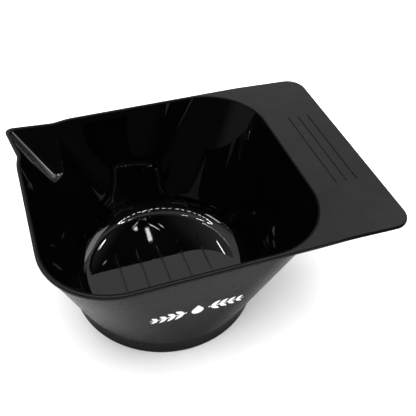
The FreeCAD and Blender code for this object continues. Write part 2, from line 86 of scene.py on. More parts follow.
def angles():
    """Directions round the axis, closer together where the outline turns quickly."""
    a = [np.arange(-180.0, -36.0, 0.8), np.arange(-36.0, -24.0, 0.4), np.arange(-24.0, 24.0, 0.8),
         np.arange(24.0, 36.0, 0.4), np.arange(36.0, 112.0, 0.8), np.arange(112.0, 128.0, 0.35),
         np.arange(128.0, 143.0, 0.18), np.arange(143.0, 160.0, 0.35), np.arange(160.0, 179.7, 0.8)]
    return np.radians(np.concatenate(a))


TH = angles()
N = len(TH)


def polar(points):
    """Distance from the axis to a closed outline, along every direction of TH."""
    a = np.arctan2(points[:, 1], points[:, 0])
    r = np.hypot(points[:, 0], points[:, 1])
    o = np.argsort(a)
    return np.interp(TH, a[o], r[o], period=2 * math.pi)


def box_outline(x0, x1, y0, y1, radii):
    """Rounded rectangle; radii are for the corners +x-y, +x+y, -x+y and -x-y."""
    corners = [(x1, y0, -1, 1, -90), (x1, y1, -1, -1, 0), (x0, y1, 1, -1, 90), (x0, y0, 1, 1, 180)]
    arcs = []
    for (x, y, sx, sy, a0), r in zip(corners, radii):
        t = np.radians(a0 + np.linspace(0, 90, 300))
        arcs.append(np.stack([x + sx * r + r * np.cos(t), y + sy * r + r * np.sin(t)], 1))
    pts = []
    for k in range(4):
        a, b = arcs[k][-1], arcs[(k + 1) % 4][0]
        pts += [arcs[k], a + (b - a) * np.linspace(0, 1, 400)[1:-1, None]]
    return np.concatenate(pts)


def beak_radius(tip, radius):
    """Distance from the axis to a pointed outline with a rounded tip; 0 where there is none."""
    run = radius / math.tan(HALF)
    c = tip + BIS * (radius / math.sin(HALF))
    pb, pl = tip + BACK * run, tip + LEFT * run
    a0 = math.atan2(*(pb - c)[::-1])
    a1 = math.atan2(*(pl - c)[::-1])
    if a1 < a0:
        a1 += 2 * math.pi
    t = np.linspace(a0, a1, 200)
    s = np.linspace(run, 56.0, 500)[1:, None]
    pts = np.concatenate([(tip + BACK * s)[::-1], c + radius * np.stack([np.cos(t), np.sin(t)], 1), tip + LEFT * s])
    a = np.arctan2(pts[:, 1], pts[:, 0]) % (2 * math.pi)
    r = np.hypot(pts[:, 0], pts[:, 1])
    o = np.argsort(a)
    return np.interp(TH % (2 * math.pi), a[o], r[o], left=0, right=0)


def soft_max(a, b, k):
    h = np.clip(0.5 + 0.5 * (a - b) / k, 0, 1)
    return b * (1 - h) + a * h + k * h * (1 - h)


def lerp(a, b, w):
    return a + (b - a) * w


def blend_outline(r_low, w, left, right, half, corner):
    """Section of a wall that runs straight from a circle (w=0) to a rounded rectangle (w=1)."""
    rad = lerp(r_low, corner, w)
    return box_outline(-lerp(r_low, left, w), lerp(r_low, right, w), -lerp(r_low, half, w), lerp(r_low, half, w),
                       [rad - 1e-6] * 4)


WELL_TOP = FLOOR_Z + WELL_C


def inner_wall(z):
    w = (z - WELL_TOP) / (H - WELL_TOP)
    return polar(blend_outline(WELL_R, w, OPEN_L, OPEN_R, OPEN_H, OPEN_C))


def channel(z, inset=0.0):
    v = (z - (H - SPOUT_DEPTH)) / SPOUT_DEPTH
    tip = lerp(throat_tip(0), tip_inset(LIP), v)
    rad = lerp(THROAT_C, 3.0, v)
    return beak_radius(tip + BIS * (inset / math.sin(HALF)), rad)


def inner(z, k=1.3):
    wall = inner_wall(z)
    z0 = H - SPOUT_DEPTH
    if z < z0:
        return wall
    rho = 1.3
    inset = 0.0
    if z < z0 + rho:
        inset = rho - math.sqrt(max(0.0, rho * rho - (rho - (z - z0)) ** 2))
    return soft_max(wall, channel(z, inset * math.sin(HALF)), k)


def outer(z, k=1.6):
    w = (z - FOOT_H) / (H - PLATE - FOOT_H)
    wall = polar(blend_outline(FOOT_R, w, OPEN_L + WALL_OFF, OPEN_R + WALL_OFF, OPEN_H + WALL_OFF, OPEN_C + WALL_OFF))
    z0, z1 = H - SPOUT_DEPTH - 3, H - PLATE
    if z < 36:
        return wall
    v = (z - z0) / (z1 - z0)
    tip = lerp(throat_tip(-0.6), tip_inset(0.9), v)
    return soft_max(wall, beak_radius(tip, lerp(THROAT_C - 0.6, 2.7, v)), k)


def plate_outline(k=1.3):
    rc = OPEN_C + LIP
    plate = polar(box_outline(-OPEN_L - LIP, XE, -HW, HW, (HANDLE_C, HANDLE_C, rc, rc)))
    return soft_max(plate, beak_radius(tip_inset(0), 3.4), k)


def xy(r):
    return np.stack([r * np.cos(TH), r * np.sin(TH)], 1)


def shift(p, d):
    """Outline moved outwards by d along its own normals."""
    t = np.roll(p, -1, 0) - np.roll(p, 1, 0)
    n = np.stack([t[:, 1], -t[:, 0]], 1)
    n /= np.hypot(n[:, 0], n[:, 1])[:, None]
    return p + n * (d if np.isscalar(d) else np.asarray(d)[:, None])


def z_top(x):
    """Height of the rim and of the handle plate, which falls a little towards its outer edge."""
    u = np.asarray(x, float) - HANDLE_X - 0.4
    return H - HANDLE_DROP / (XE - HANDLE_X) * 0.5 * (u + np.sqrt(u * u + 1.0))


# ------------------------------------------------------------------ mesh building
class Skin:
    """Collects points and faces, then makes one object."""

    def __init__(self):
        self.co, self.faces, self.mats = [], [], []

    def points(self, p):
        start = len(self.co)
        self.co.extend(map(tuple, np.asarray(p, float)))
        return np.arange(start, len(self.co))

    def ring(self, p, z):
        z = np.broadcast_to(z, (len(p),))
        return self.points(np.column_stack([p, z]))

    def bridge(self, a, b, mat=0):
        n = len(a)
        for i in range(n):
            j = (i + 1) % n
            self.faces.append((a[i], a[j], b[j], b[i]))
            self.mats.append(mat)

    def strip(self, rings, mat=0):
        for a, b in zip(rings, rings[1:]):
            self.bridge(a, b, mat)

    def cap(self, ring, centre, mat=0):
        c = self.points([centre])[0]
        n = len(ring)
        for i in range(n):
            self.faces.append((ring[i], ring[(i + 1) % n], c))
            self.mats.append(mat)

    def fill(self, rings, extra, height, mat=0, axes=(0, 1)):
        """Triangles over the area between closed rings, with extra points inside it."""
        idx = list(np.concatenate(rings))
        co = np.array([self.co[i] for i in idx])[:, axes]
        edges, k = [], 0
        for r in rings:
            n = len(r)
            edges += [(k + i, k + (i + 1) % n) for i in range(n)]
            k += n
        seg_a = co[[e[0] for e in edges]]
        seg_b = co[[e[1] for e in edges]]
        extra = np.asarray(extra, float).reshape(-1, 2)
        allp = np.concatenate([co, extra])
        v, _, f, ov, _, _ = delaunay_2d_cdt([Vector(p) for p in allp], edges, [], 0, 1e-7, True)
        v = np.array([(p.x, p.y) for p in v])
        index = []
        for i, o in enumerate(ov):
            if o and o[0] < len(idx):
                index.append(idx[o[0]])
            else:
                index.append(self.points([height(v[i])])[0])
        tri = np.array([t for t in f if len(t) == 3])
        c = v[tri].mean(1)
        e = np.roll(v[tri], -1, 1) - v[tri]
        area2 = np.abs(e[:, 0, 0] * e[:, 1, 1] - e[:, 0, 1] * e[:, 1, 0])
        inside = odd_crossings(c, seg_a, seg_b) & (area2 > 1e-5 * np.hypot(e[..., 0], e[..., 1]).max(1))
        for t in tri[inside]:
            self.faces.append(tuple(index[i] for i in t))
            self.mats.append(mat)

    def make(self, name, materials, smooth=True):
        mesh = bpy.data.meshes.new(name)
        mesh.from_pydata([Vector(c) * MM for c in self.co], [], [tuple(int(i) for i in f) for f in self.faces])
        import bmesh
        bm = bmesh.new()
        bm.from_mesh(mesh)
        for f, m in zip(bm.faces, self.mats):
            f.material_index = m
            f.smooth = smooth
        loose = [v for v in bm.verts if not v.link_faces]
        bmesh.ops.delete(bm, geom=loose, context="VERTS")
        bmesh.ops.recalc_face_normals(bm, faces=bm.faces)
        if bm.calc_volume(signed=True) < 0:
            bmesh.ops.reverse_faces(bm, faces=bm.faces)
        open_edges = sum(1 for e in bm.edges if not e.is_manifold)
        print("%s: %d points, %d faces, %d open edges, volume %.1f mm3"
              % (name, len(bm.verts), len(bm.faces), open_edges, bm.calc_volume(signed=True) / MM ** 3))
        bm.to_mesh(mesh)
        bm.free()
        for m in materials:
            mesh.materials.append(m)
        o = bpy.data.objects.new(name, mesh)
        bpy.context.scene.collection.objects.link(o)
        return o


def odd_crossings(p, a, b):
    """True where a ray along +x from p crosses the segments an odd number of times."""
    out = np.zeros(len(p), bool)
    for s in range(0, len(p), 2000):
        q = p[s:s + 2000]
        x, y = q[:, 0:1], q[:, 1:2]
        ya, yb = a[None, :, 1], b[None, :, 1]
        hit = (ya > y) != (yb > y)
        with np.errstate(divide="ignore", invalid="ignore"):
            xc = a[None, :, 0] + (y - ya) / (yb - ya) * (b[None, :, 0] - a[None, :, 0])
        out[s:s + 2000] = (hit & (xc > x)).sum(1) % 2 == 1
    return out


def nearest(p, q):
    """Smallest distance from each point of p to the points q."""
    return np.array([np.min(np.hypot(*(q - s).T)) for s in p])


def slot_outline(x0, x1, y0, y1, grow, ends=6):
    """Long narrow outline with softly squared ends."""
    x0, x1, y0, y1 = x0 - grow, x1 + grow, y0 - grow, y1 + grow
    r = min(0.45 * (x1 - x0), 0.22 + max(grow, 0))
    pts = []
    for cx, cy, a in ((x1 - r, y0 + r, -90), (x1 - r, y1 - r, 0), (x0 + r, y1 - r, 90), (x0 + r, y0 + r, 180)):
        for t in np.linspace(0, 90, ends):
            pts.append((cx + r * math.cos(math.radians(a + t)), cy + r * math.sin(math.radians(a + t))))
    return np.array(pts)


def densify(p, step):
    out = []
    for a, b in zip(p, np.roll(p, -1, 0)):
        n = max(1, int(math.hypot(*(b - a)) / step))
        out += [a + (b - a) * k / n for k in range(n)]
    return np.array(out)


def groove(skin, base, height, deep, mat, foot=0.6, steps=None):
    """A narrow groove: returns its outermost ring, which the surface round it is joined to."""
    x0, x1, y0, y1 = base
    w = (x1 - x0) / 2
    rings = []
    for grow, d in ((0.16, 0.0), (0.10, 0.0), (0.045, 0.018), (0.0, 0.07), (-0.02, 0.13),
                    (-(1 - foot) * w * 0.8, deep - 0.09), (-(1 - foot) * w, deep - 0.02), (-(1 - foot) * w - 0.08, deep)):
        p = slot_outline(x0, x1, y0, y1, grow)
        if steps:
            m = [k for k in range(len(p))]
            q = []
            for k in m:
                a, b = p[k], p[(k + 1) % len(p)]
                q.append(a)
                if abs(b[1] - a[1]) > 3:
                    q += [a + (b - a) * s / steps for s in range(1, steps)]
            p = np.array(q)
        rings.append(skin.points([(x, y, float(height(x)) - d) for x, y in p]))
    skin.strip(rings, mat)
    skin.fill([rings[-1]], [], lambda c: (c[0], c[1], float(height(c[0])) - deep), mat)
    return rings[0]


# ------------------------------------------------------------------ the bowl
GLOSS, SATIN, WALL, EDGE, SIDE = 0, 1, 2, 3, 4


def build_bowl(materials):
    s = Skin()
    # floor, with five shallow grooves across it
    floor_rings = []
    for k in range(5):
        x = 0.7 + 12.0 * (k - 2)
        floor_rings.append(groove(s, (x - 0.4, x + 0.4, -14.5, 16.5), lambda u: FLOOR_Z, 0.5, GLOSS, foot=0.75))
    rf = WELL_R - WELL_C
    well = []
    for d in (0.9, 0.45):
        well.append(s.ring(xy(np.full(N, rf - d)), FLOOR_Z))
    for a in np.linspace(90, 0, 33):
        a = math.radians(a)
        well.append(s.ring(xy(np.full(N, rf + WELL_C * math.cos(a))), WELL_TOP - WELL_C * math.sin(a)))
    s.fill([well[0]] + floor_rings, [], lambda c: (c[0], c[1], FLOOR_Z), GLOSS)
    # inner walls, softly turned into the well, and the pouring channel in the corner
    z0 = H - SPOUT_DEPTH
    walls = [well[-1]]
    low = [0.35, 0.9, 1.6] + list(np.arange(3.0, z0 - 1.2 - WELL_TOP, 1.5))
    for dz in low:
        z = WELL_TOP + dz
        r = inner_wall(z)
        if dz < 2:      # the turn where the walls leave the well
            e = 0.5 * math.exp(-((dz) / 0.7) ** 2) * 0.18
            r = r + e
        walls.append(s.ring(xy(r), z))
    pocket = np.maximum(inner(z0) - inner_wall(z0), 0)
    for dz, part in ((0.55, 0.0), (0.3, 0.012), (0.15, 0.05), (0.06, 0.12), (0.03, 0.3), (0.02, 0.55), (0.01, 0.8), (0.0, 1.0)):
        z = z0 - dz
        walls.append(s.ring(xy(inner_wall(z) + pocket * part), z))
    edge = 0.38
    top = H - edge
    zs = [z0 + v for v in (0.03, 0.1, 0.22, 0.4, 0.65, 0.95, 1.3, 1.7)] + list(np.arange(z0 + 2.2, top - 0.3, 0.5))
    zs += [top - 0.12]
    for z in zs:
        walls.append(s.ring(xy(inner(z)), z))
    mouth = xy(inner(H))
    under = xy(inner(top))
    lip = []
    for a in np.linspace(0, 90, 8):
        a = math.radians(a)
        p = under + (shift(mouth, edge) - under) * (1 - math.cos(a))
        lip.append(s.ring(p, top + edge * math.sin(a)))
    lip.append(s.ring(shift(mouth, edge + 0.10), H))
    lip.append(s.ring(shift(mouth, edge + 0.45), H))
    for q in (lip,):
        base = z_top(np.array([s.co[i][0] for i in q[-1]])) - H
        for ring in q:
            for i, dz in zip(ring, base):
                x, y, z = s.co[i]
                s.co[i] = (x, y, z + float(dz))
    s.strip(well + walls[1:], GLOSS)
    s.strip([walls[-1]] + lip[:2], GLOSS)
    s.strip(lip[1:], EDGE)
    # outer edge of the rim and of the handle plate
    out = xy(plate_outline())
    wide = np.clip((out[:, 0] - 60) / 12, 0, 1)
    e_top = 0.38 + 0.42 * wide * wide * (3 - 2 * wide)      # the handle's edge is rounder than the rim's
    e_low = 0.30 + 0.30 * wide
    turn = []
    for a in np.linspace(0, 90, 9):
        a = math.radians(a)
        p = shift(out, -e_top * (1 - math.sin(a)))
        turn.append((p, -e_top * (1 - math.cos(a))))
    side = [(out, -e_top - 0.08), (out, -(PLATE - e_low) + 0.08)]
    back = []
    for a in np.linspace(0, 90, 7):
        a = math.radians(a)
        p = shift(out, -e_low * (1 - math.cos(a)))
        back.append((p, -(PLATE - e_low) - e_low * math.sin(a)))
    rim = [(shift(out, -e_top - 0.24), 0.0), (shift(out, -e_top - 0.12), 0.0)] + turn + side + back
    rim += [(shift(out, -e_low - 0.06), -PLATE)]
    rings = []
    for p, dz in rim:
        rings.append(s.ring(p, z_top(p[:, 0]) + dz))
    s.strip(rings[:3], SATIN)
    s.strip(rings[2:11], EDGE)
    s.strip(rings[10:], SIDE)
    # top face, with the three grip grooves of the handle
    grips = []
    for k in range(3):
        x = 80.7 + 5.7 * k
        grips.append(groove(s, (x - 0.4, x + 0.4, -27.5, 27.5), z_top, 0.5, SATIN, foot=0.6))
    gx = np.concatenate([np.arange(67.6, 72, 0.6), np.arange(73.5, XE - 1.5, 2.4)])
    gx = np.array([x for x in gx if all(abs(x - (80.7 + 5.7 * k)) > 0.9 for k in range(3))])
    gy = np.arange(-60.0, 60.1, 3.0)
    grid = np.array([(x, y) for x in gx for y in gy])
    border = np.concatenate([np.array([s.co[i] for i in lip[-1]])[:, :2], np.array([s.co[i] for i in rings[0]])[:, :2]])
    seg = np.concatenate([np.array([s.co[i] for i in rings[0]])[:, :2]])
    ok = odd_crossings(grid, seg, np.roll(seg, -1, 0)) & (nearest(grid, border) > 0.7)
    hole = np.array([s.co[i] for i in lip[-1]])[:, :2]
    ok &= ~odd_crossings(grid, hole, np.roll(hole, -1, 0))
    s.fill([rings[0], lip[-1]] + grips, grid[ok], lambda c: (c[0], c[1], float(z_top(c[0]))), SATIN)
    # outer walls, from under the lip down to the foot
    wt = xy(outer(H - PLATE))
    f = 0.22
    low_rings = [s.ring(shift(wt, f + 0.05), z_top(shift(wt, f + 0.05)[:, 0]) - PLATE)]
    for a in np.linspace(0, 90, 5):
        a = math.radians(a)
        low_rings.append(s.ring(shift(wt, f * (1 - math.sin(a))), H - PLATE - f * (1 - math.cos(a))))
    for z in list(np.arange(H - PLATE - 0.6, 44.0, -0.6)) + list(np.arange(43.5, FOOT_H + 1.5, -1.5)) + [FOOT_H + 0.7, FOOT_H + 0.25]:
        low_rings.append(s.ring(xy(outer(z)), z))
    foot_low = FOOT_R - 1.4
    turn_in = len(low_rings)
    for z in (FOOT_H, FOOT_H - 0.25, FOOT_H - 0.7, 8.0, 5.0, 2.5, FOOT_Z + 0.8):
        r = lerp(foot_low, FOOT_R, (z - FOOT_Z) / (FOOT_H - FOOT_Z))
        if abs(z - FOOT_H) < 0.3:
            r -= 0.02
        low_rings.append(s.ring(xy(np.full(N, r)), z))
    e = 0.5
    for a in np.linspace(0, 90, 7):
        a = math.radians(a)
        low_rings.append(s.ring(xy(np.full(N, foot_low - e * (1 - math.cos(a)))), FOOT_Z + e * (1 - math.sin(a))))
    under_z = FLOOR_Z - 2.2
    for r, z in ((48.6, 0), (47.35, 0), (47.15, 0.05), (47.0, 0.2), (47.0, 0.5), (47.0, 3.4), (47.0, 3.6), (46.8, 3.6),
                 (46.0, 3.6), (45.75, 3.62), (45.7, 3.75), (45.7, 4.2), (45.7, 7.4), (45.55, 7.95), (45.2, 8.05),
                 (44.7, 7.85), (42.9, 6.83), (42.3, 6.62), (41.6, 6.6), (39.0, 6.6), (20.0, 6.6), (4.2, 6.6), (3.9, 6.58),
                 (3.6, 6.5), (3.3, 6.42), (3.0, 6.4), (1.0, 6.4)):
        low_rings.append(s.ring(xy(np.full(N, r)), FOOT_Z + z if z < 6.4 else z + (under_z - 6.6)))
    s.fill([rings[-1], low_rings[0]], [], lambda c: (c[0], c[1], float(z_top(c[0])) - PLATE), WALL)
    s.strip(low_rings[:turn_in + 12], WALL)
    s.strip(low_rings[turn_in + 11:], SATIN)
    s.cap(low_rings[-1], (0, 0, under_z - 0.2), SATIN)
    return s.make("bowl_shell", materials)


# ------------------------------------------------------------------ rubber ring under the foot
def build_ring(material):
    s = Skin()
    lo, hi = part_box("non_slip_ring")
    z0, z1 = lo.z / MM, hi.z / MM
    ro, ri = hi.x / MM, hi.x / MM - 2.4
    e = 0.6
    prof = []
    for a in np.linspace(-90, 0, 6):
        a = math.radians(a)
        prof.append((ro - e + e * math.cos(a), z0 + e + e * math.sin(a)))
    prof += [(ro, z0 + e + 0.15), (ro, z1 - 0.3), (ro - 0.08, z1 - 0.08), (ro - 0.3, z1), (ri + 0.3, z1),
             (ri + 0.08, z1 - 0.08), (ri, z1 - 0.3), (ri, z0 + e + 0.15)]
    for a in np.linspace(180, 270, 6):
        a = math.radians(a)
        prof.append((ri + e + e * math.cos(a), z0 + e + e * math.sin(a)))
    m = 256
    t = np.linspace(0, 2 * math.pi, m, endpoint=False)
    rings = [s.points(np.stack([r * np.cos(t), r * np.sin(t), np.full(m, z)], 1)) for r, z in prof]
    s.strip(rings + [rings[0]], 0)
    return s.make("foot_ring", [material])


# ------------------------------------------------------------------ printed ornament
def wall_y(x, z):
    """Front of the outer wall at a given x and z."""
    w = (z - FOOT_H) / (H - PLATE - FOOT_H)
    half = lerp(FOOT_R, OPEN_H + WALL_OFF, w)
    rad = lerp(FOOT_R, OPEN_C + WALL_OFF, w)
    xl, xr = -lerp(FOOT_R, OPEN_L + WALL_OFF, w) + rad, lerp(FOOT_R, OPEN_R + WALL_OFF, w) - rad
    d = max(xl - x, x - xr, 0.0)
    return -(half - rad) - math.sqrt(rad * rad - d * d)


def leaf(x, z, length, width, angle, n=16):
    u = np.linspace(0, 1, n + 1)
    b = width / 2 * np.sin(math.pi * u ** 0.85)
    up = np.stack([u * length, b], 1)
    low = np.stack([u * length, -b], 1)[::-1][1:-1]
    p = np.concatenate([up, low])
    c, t = math.cos(math.radians(angle)), math.sin(math.radians(angle))
    return np.stack([x + p[:, 0] * c - p[:, 1] * t, z + p[:, 0] * t + p[:, 1] * c], 1)


def droplet(x, z, size, n=36):
    pts = [(x, z + size * 1.35)]
    for k in range(n + 1):
        a = math.radians(35 - k * 250 / n)
        pts.append((x + size * math.cos(a) * 0.8, z + size * math.sin(a) * 0.8))
    return np.array(pts)


def build_print(material):
    s = Skin()
    lo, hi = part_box("printed_mark")
    zc = (lo.z + hi.z) / 2 / MM
    zc = 43.0 if abs(zc - 43.0) < 1.2 else zc
    shapes = [droplet(0.0, zc - 0.5, 3.6)]
    for side in (-1, 1):
        shapes.append(np.array([(5.2 * side, zc - 0.35), (22.6 * side, zc - 0.14), (22.6 * side, zc + 0.14), (5.2 * side, zc + 0.35)]))
        for k in range(4):
            x = side * (6.6 + 4.1 * k)
            for up in (1, -1):
                shapes.append(leaf(x, zc + up * 0.15, 5.6 - 0.55 * k, 2.2 - 0.15 * k, up * 42 if side > 0 else 180 - up * 42))
    for n, p in enumerate(shapes):
        p = densify(p, 0.35)
        area = 0.5 * np.sum(p[:, 0] * np.roll(p[:, 1], -1) - np.roll(p[:, 0], -1) * p[:, 1])
        if area < 0:
            p = p[::-1]
        inner_p = p + (p.mean(0) - p) * 0.0
        t = np.roll(p, -1, 0) - np.roll(p, 1, 0)
        nrm = np.stack([t[:, 1], -t[:, 0]], 1)
        nrm /= np.hypot(nrm[:, 0], nrm[:, 1])[:, None] + 1e-9
        inner_p = p - nrm * 0.05
        lift = 0.065 + 0.003 * (n % 3)
        deep = s.points([(x, wall_y(x, z) + 0.03, z) for x, z in p])
        edge = s.points([(x, wall_y(x, z) - lift * 0.55, z) for x, z in p])
        top = s.points([(x, wall_y(x, z) - lift, z) for x, z in inner_p])
        g = np.array([(x, z) for x in np.arange(p[:, 0].min(), p[:, 0].max(), 0.8) for z in np.arange(p[:, 1].min(), p[:, 1].max(), 0.8)])
        if len(g):
            ok = odd_crossings(g, inner_p, np.roll(inner_p, -1, 0)) & (nearest(g, inner_p) > 0.3)
            g = g[ok]
        s.strip([deep, edge, top], 0)
        s.fill([top], g, lambda c, lift=lift: (c[0], wall_y(c[0], c[1]) - lift, c[1]), 0, axes=(0, 2))
        s.fill([deep], [], lambda c: (c[0], wall_y(c[0], c[1]) + 0.03, c[1]), 0, axes=(0, 2))
    return s.make("leaf_print", [material])


# ------------------------------------------------------------------ materials
class Nodes:
    """Small helper for node trees."""

    def __init__(self, name):
        self.mat = bpy.data.materials.new(name)
        self.mat.use_nodes = True
        self.t = self.mat.node_tree
        self.bsdf = self.t.nodes["Principled BSDF"]
        self.coord = self.t.nodes.new("ShaderNodeTexCoord").outputs["Object"]

    def node(self, kind, **props):
        n = self.t.nodes.new(kind)
        for k, v in props.items():
            setattr(n, k, v)
        return n

    def link(self, a, b):
        self.t.links.new(a, b)

    def noise(self, scale, detail=2.0, rough=0.5, stretch=(1, 1, 1), distortion=0.0):
        m = self.node("ShaderNodeMapping")
        m.inputs["Scale"].default_value = stretch
        self.link(self.coord, m.inputs["Vector"])
        n = self.node("ShaderNodeTexNoise")
        n.inputs["Scale"].default_value = scale
        n.inputs["Detail"].default_value = detail
        n.inputs["Roughness"].default_value = rough
        n.inputs["Distortion"].default_value = distortion
        self.link(m.outputs["Vector"], n.inputs["Vector"])
        return n.outputs["Fac"]

    def ramp(self, fac, stops):
        r = self.node("ShaderNodeValToRGB")
        el = r.color_ramp.elements
        while len(el) < len(stops):
            el.new(0.5)
        for e, (pos, col) in zip(el, stops):
            e.position = pos
            e.color = (col, col, col, 1) if isinstance(col, (int, float)) else (*col, 1)
        self.link(fac, r.inputs["Fac"])
        return r.outputs["Color"]

    def math(self, op, a, b):
        m = self.node("ShaderNodeMath", operation=op)
        for sock, v in zip(m.inputs, (a, b)):
            if isinstance(v, (int, float)):
                sock.default_value = v
            else:
                self.link(v, sock)
        return m.outputs[0]

    def bump(self, height, strength, distance, normal=None):
        b = self.node("ShaderNodeBump")
        b.inputs["Strength"].default_value = strength
        b.inputs["Distance"].default_value = distance
        self.link(height, b.inputs["Height"])
        if normal is not None:
            self.link(normal, b.inputs["Normal"])
        return b.outputs["Normal"]

    def set(self, **values):
        for k, v in values.items():
            self.bsdf.inputs[k.replace("_", " ")].default_value = v


def gloss_black():
    """Polished inside of the moulding: black, nearly mirror smooth, with faint hairline wiping marks."""
    n = Nodes("plastic_gloss_black")
    tint = n.ramp(n.noise(55, 3, 0.6), [(0.3, (0.0006, 0.0006, 0.0007)), (0.75, (0.0014, 0.0014, 0.0015))])
    n.link(tint, n.bsdf.inputs["Base Color"])
    hair = n.noise(340, 2, 0.7, stretch=(1, 0.09, 1), distortion=0.4)
    film = n.noise(38, 3, 0.55)
    rough = n.math("ADD", n.ramp(hair, [(0.60, 0.012), (0.80, 0.035)]), n.ramp(film, [(0.35, 0.0), (0.8, 0.012)]))
    n.link(rough, n.bsdf.inputs["Roughness"])
    wave = n.bump(n.noise(26, 1, 0.4), 0.12, 0.0004)
    n.link(n.bump(n.noise(700, 2, 0.5), 0.015, 0.00008, wave), n.bsdf.inputs["Normal"])
    n.set(IOR=1.49)
    return n.mat


def satin_black(name, level, dark, light, stops=None):
    """Outside, rim and handle: black with a fine moulded grain that spreads the shine."""
    n = Nodes(name)
    tint = n.ramp(n.noise(70, 4, 0.6), [(0.3, (dark, dark, dark * 1.04)), (0.75, (light, light, light * 1.04))])
    n.link(tint, n.bsdf.inputs["Base Color"])
    rough = n.math("ADD", n.ramp(n.noise(48, 4, 0.6), [(0.3, 0.25), (0.8, 0.31)]),
                   n.ramp(n.noise(700, 2, 0.6, stretch=(1, 0.12, 1)), [(0.62, 0.0), (0.78, 0.05)]))
    n.link(rough, n.bsdf.inputs["Roughness"])
    grain = n.bump(n.noise(2600, 2, 0.6), 0.10, 0.00006)
    n.link(n.bump(n.noise(22, 1, 0.4), 0.15, 0.0005, grain), n.bsdf.inputs["Normal"])
    n.set(IOR=1.49, Specular_IOR_Level=level)
    if stops:          # the shine fades down the wall: painted shade, standing in for the shaded floor near the foot that the lower wall reflects
        part = n.node("ShaderNodeSeparateXYZ")
        n.link(n.coord, part.inputs[0])
        height = n.math("ADD", n.math("MULTIPLY", part.outputs["Z"], 10.0), n.math("MULTIPLY", n.noise(30, 3, 0.6), 0.03))
        n.link(n.ramp(height, stops), n.bsdf.inputs["Specular IOR Level"])
    return n.mat


def side_black():
    """Narrow side of the rim and the handle plate: satin along the bowl, darker along the handle."""
    n = Nodes("plastic_side_black")
    part = n.node("ShaderNodeSeparateXYZ")
    n.link(n.coord, part.inputs[0])
    along = n.math("ADD", n.math("MULTIPLY", part.outputs["X"], 10.0), n.math("MULTIPLY", n.noise(60, 4, 0.6), 0.04))
    n.link(n.ramp(along, [(0.55, (0.0135, 0.0135, 0.0140)), (0.80, (0.0035, 0.0035, 0.0037))]), n.bsdf.inputs["Base Color"])
    n.link(n.ramp(n.noise(48, 4, 0.6), [(0.3, 0.25), (0.8, 0.31)]), n.bsdf.inputs["Roughness"])
    n.link(n.bump(n.noise(2600, 2, 0.6), 0.10, 0.00006), n.bsdf.inputs["Normal"])
    n.set(IOR=1.49, Specular_IOR_Level=0.02)
    return n.mat


def rubber_black():
    n = Nodes("rubber_matte_black")
    n.link(n.ramp(n.noise(160, 5, 0.65), [(0.3, (0.011, 0.011, 0.011)), (0.75, (0.020, 0.020, 0.019))]), n.bsdf.inputs["Base Color"])
    n.link(n.ramp(n.noise(420, 3, 0.6), [(0.3, 0.62), (0.8, 0.80)]), n.bsdf.inputs["Roughness"])
    n.link(n.bump(n.noise(1800, 4, 0.7), 0.35, 0.00008), n.bsdf.inputs["Normal"])
    return n.mat


def ink_white():
    n = Nodes("ink_print_white")
    n.link(n.ramp(n.noise(900, 4, 0.7), [(0.25, (0.80, 0.80, 0.79)), (0.6, (0.93, 0.93, 0.92))]), n.bsdf.inputs["Base Color"])
    n.link(n.ramp(n.noise(500, 3, 0.6), [(0.3, 0.38), (0.8, 0.52)]), n.bsdf.inputs["Roughness"])
    n.link(n.bump(n.noise(3000, 2, 0.6), 0.15, 0.00003), n.bsdf.inputs["Normal"])
    return n.mat


def floor_pale():
    n = Nodes("studio_floor")
    n.link(n.ramp(n.noise(9, 3, 0.5), [(0.3, (0.90, 0.90, 0.90)), (0.8, (0.93, 0.93, 0.93))]), n.bsdf.inputs["Base Color"])
    n.link(n.ramp(n.noise(60, 3, 0.5), [(0.3, 0.80), (0.8, 0.90)]), n.bsdf.inputs["Roughness"])
    n.set(Specular_IOR_Level=0.1)
    return n.mat


# ------------------------------------------------------------------ put it together
# Specular level of the outer wall by height, a painted shade: the reflection dims towards the foot as if the floor
# beside it lay in shadow.
WALL_SHINE_PAINTED_SHADE = [(0.03, 0.000), (0.10, 0.004), (0.28, 0.012), (0.60, 0.036)]     # height in units of 0.1 m
bowl = build_bowl([gloss_black(), satin_black("plastic_satin_black", 0.11, 0.0080, 0.0110),
                   satin_black("plastic_wall_black", 0.05, 0.0125, 0.0165, WALL_SHINE_PAINTED_SHADE),
                   satin_black("plastic_edge_black", 0.02, 0.0022, 0.0036), side_black()])
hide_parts("bowl_body")
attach(bowl, "root")

foot_ring = build_ring(rubber_black())
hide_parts("non_slip_ring")
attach(foot_ring, "root")

leaf_print = build_print(ink_white())
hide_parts("printed_mark")
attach(leaf_print, "root")

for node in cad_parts.values():       # hidden, but finished all the same
    node.data.materials.clear()
    node.data.materials.append(bowl.data.materials[SATIN])


# ------------------------------------------------------------------ studio
def build_floor():
    s = Skin()
    k = 24
    g = np.linspace(-2600, 2600, k + 1)
    idx = s.points([(x, y, -0.02) for y in g for x in g]).reshape(k + 1, k + 1)
    for i in range(k):
        for j in range(k):
            s.faces.append((idx[i, j], idx[i, j + 1], idx[i + 1, j + 1], idx[i + 1, j]))
            s.mats.append(0)
    mesh = bpy.data.meshes.new("floor")
    mesh.from_pydata([Vector(c) * MM for c in s.co], [], [tuple(int(i) for i in f) for f in s.faces])
    mesh.materials.append(floor_pale())
    o = bpy.data.objects.new("floor", mesh)
    bpy.context.scene.collection.objects.link(o)
    return o


floor = build_floor()

def toward(azimuth, elevation, distance=1.0):
    """Point in a direction: azimuth 0 is +Y and 90 is +X."""
    a, e = math.radians(azimuth), math.radians(elevation)
    return Vector((math.sin(a) * math.cos(e), math.cos(a) * math.cos(e), math.sin(e))) * distance


